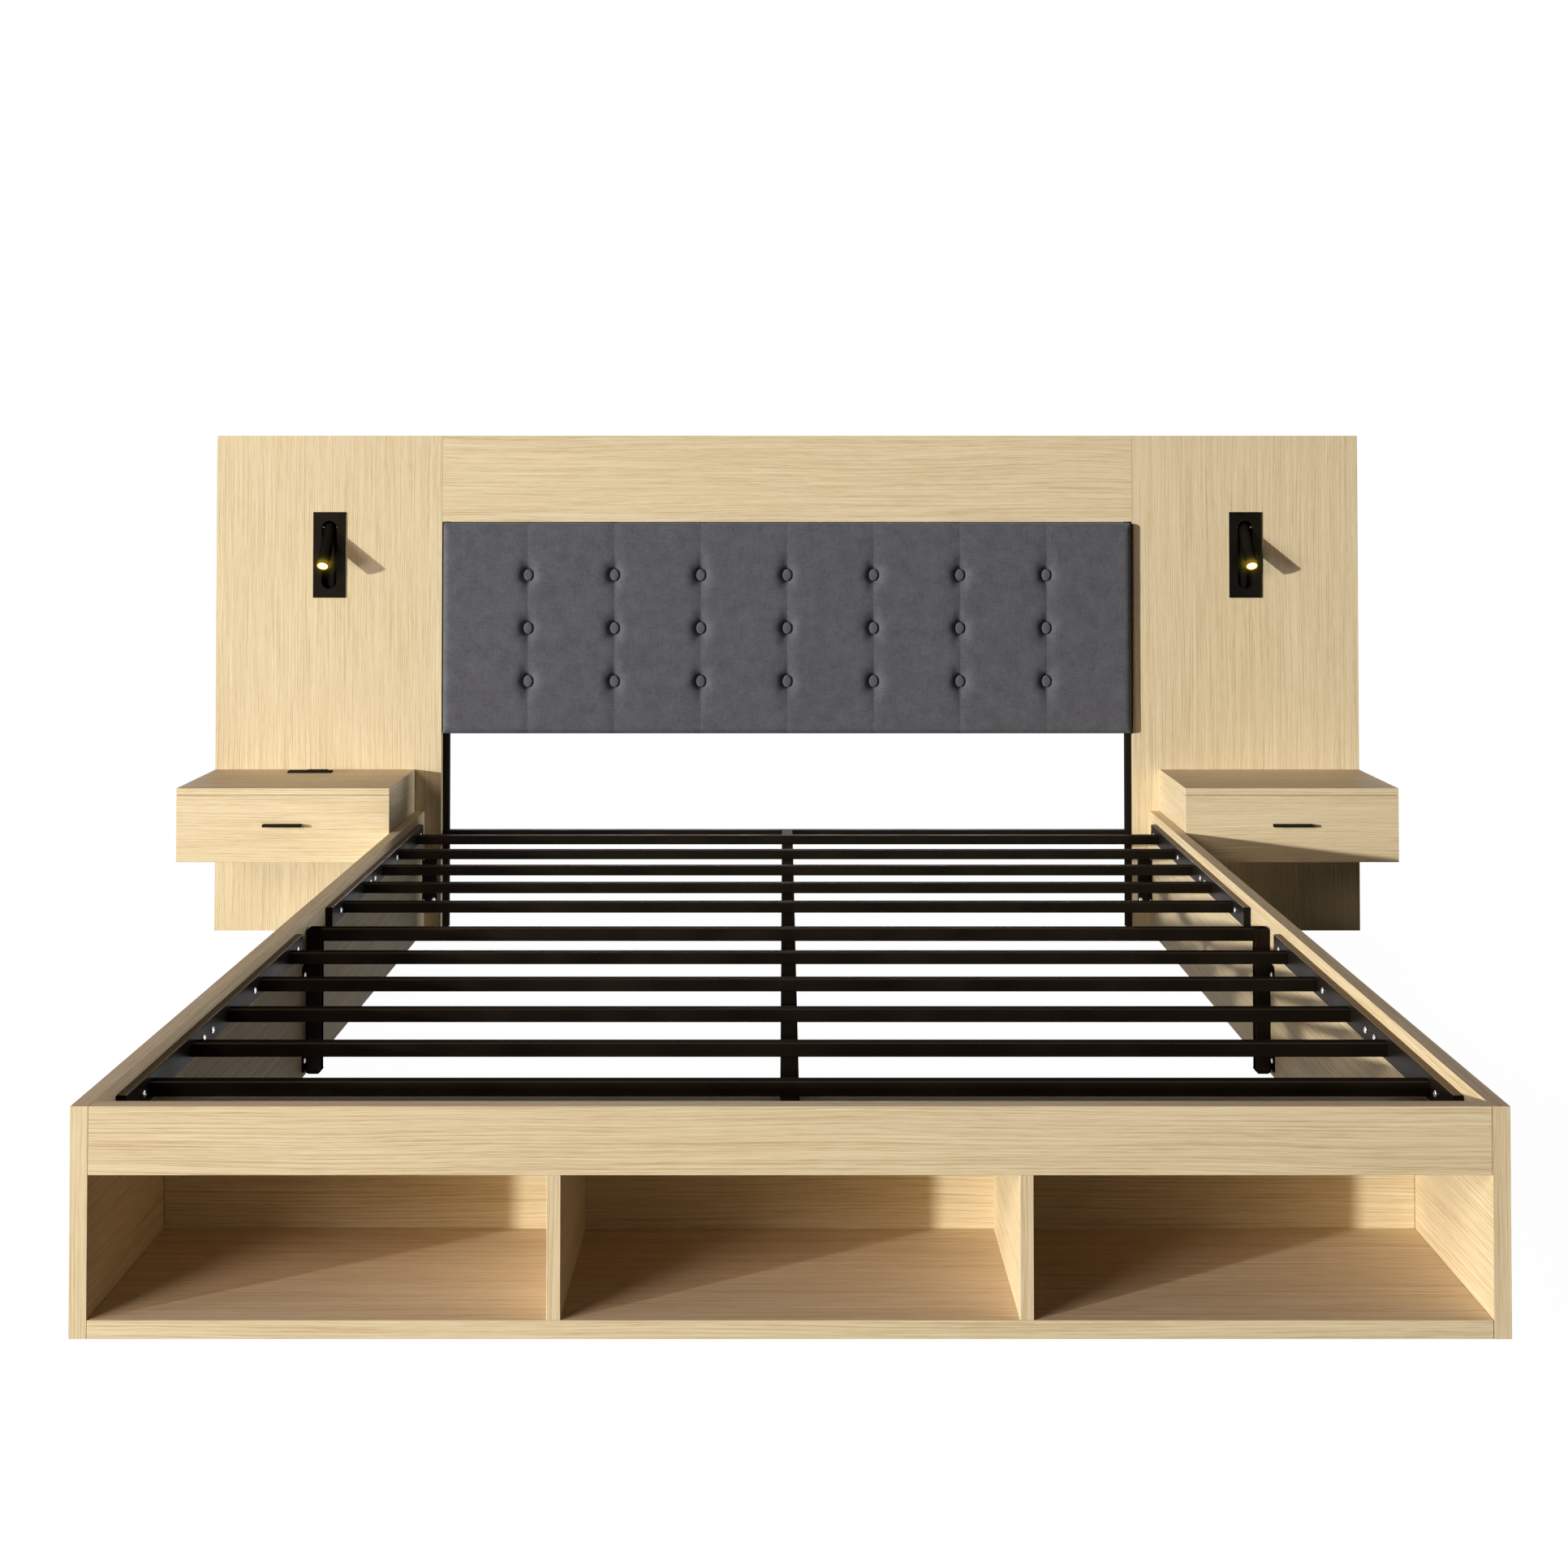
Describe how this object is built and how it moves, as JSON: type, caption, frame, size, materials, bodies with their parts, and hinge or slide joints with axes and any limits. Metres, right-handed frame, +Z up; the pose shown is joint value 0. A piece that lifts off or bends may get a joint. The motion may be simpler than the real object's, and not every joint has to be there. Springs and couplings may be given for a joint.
{
  "type": "bed with attached nightstands",
  "caption": "Queen platform bed with an open storage foot, steel slats, a tufted padded headboard, floating drawer nightstands and folding reading lamps.",
  "frame": {"origin": "on the floor, at the middle of the bed's outer box", "axes": "+X to the right for someone at the foot who faces the headboard (longest extent), +Y from foot to head, +Z up (shortest extent)"},
  "size_m": [2.509, 2.1124, 1.084],
  "materials": {
    "oak_board": "satin light oak grain",
    "drawer_board": "plain satin",
    "backing_board": "raw fibreboard",
    "grey_fabric": "linen weave",
    "black_steel": "semi-gloss powder coat",
    "black_plastic": "matte",
    "zinc_fastener": "bright zinc",
    "runner_steel": "zinc",
    "handle_black": "satin",
    "charger_black": "satin",
    "lamp_black": "semi-gloss",
    "lamp_glow": "glowing diffuser"
  },
  "bodies": {
    "bed": {"side_panel_left": "oak_board", "side_panel_right": "oak_board", "footboard_rail": "oak_board", "storage_bottom": "oak_board", "storage_top": "oak_board", "storage_back": "oak_board", "storage_dividers": "oak_board", "headboard_side_left": "oak_board", "headboard_side_right": "oak_board", "headboard_centre_panel": "oak_board", "padded_panel": "grey_fabric", "padded_panel_board": "backing_board", "tuft_buttons": "grey_fabric", "upright_left": "black_steel", "upright_right": "black_steel", "head_cross_rail": "black_steel", "hidden_cross_rails": "black_steel", "slat_rail_front_left": "black_steel", "slat_rail_front_right": "black_steel", "slat_rail_back_left": "black_steel", "slat_rail_back_right": "black_steel", "front_slats": "black_steel", "back_slats": "black_steel", "middle_cross_tube": "black_steel", "middle_leg_left": "black_steel", "middle_leg_right": "black_steel", "centre_beam": "black_steel", "centre_leg": "black_steel", "leg_feet": "black_plastic", "tube_plugs": "black_plastic", "corner_brackets": "black_steel", "rail_screws": "zinc_fastener", "bracket_screws": "zinc_fastener", "panel_screws": "zinc_fastener", "nightstand_bolts": "zinc_fastener", "nightstand_top_left": "oak_board", "nightstand_top_right": "oak_board", "nightstand_carcass_left": "oak_board", "nightstand_carcass_right": "oak_board", "drawer_tracks_left": "runner_steel", "drawer_tracks_right": "runner_steel", "charging_plate": "charger_black", "charging_sockets": "charger_black", "lamp_plate_left": "lamp_black", "lamp_plate_right": "lamp_black", "lamp_recess_left": "lamp_black", "lamp_recess_right": "lamp_black", "lamp_pins": "zinc_fastener"},
    "left_drawer": {"drawer_front_left": "oak_board", "drawer_box_left": "drawer_board", "drawer_runners_left": "runner_steel", "drawer_handle_left": "handle_black"},
    "right_drawer": {"drawer_front_right": "oak_board", "drawer_box_right": "drawer_board", "drawer_runners_right": "runner_steel", "drawer_handle_right": "handle_black"},
    "left_lamp": {"lamp_head_left": "lamp_black", "lamp_lens_left": "lamp_glow"},
    "right_lamp": {"lamp_head_right": "lamp_black", "lamp_lens_right": "lamp_glow"}
  },
  "joints": [
    {"name": "left_drawer_slide", "type": "slide", "parent": "bed", "child": "left_drawer", "axis": [0, -1, 0], "range_m": [0, 0.18]},
    {"name": "right_drawer_slide", "type": "slide", "parent": "bed", "child": "right_drawer", "axis": [0, -1, 0], "range_m": [0, 0.18]},
    {"name": "left_lamp_tilt", "type": "hinge", "parent": "bed", "child": "left_lamp", "pos_m": [-1.00665, 1.02575, 0.8826], "axis": [-1, 0, 0], "range_deg": [-42, 48]},
    {"name": "right_lamp_tilt", "type": "hinge", "parent": "bed", "child": "right_lamp", "pos_m": [1.00665, 1.02575, 0.8826], "axis": [-1, 0, 0], "range_deg": [-42, 48]}
  ]
}
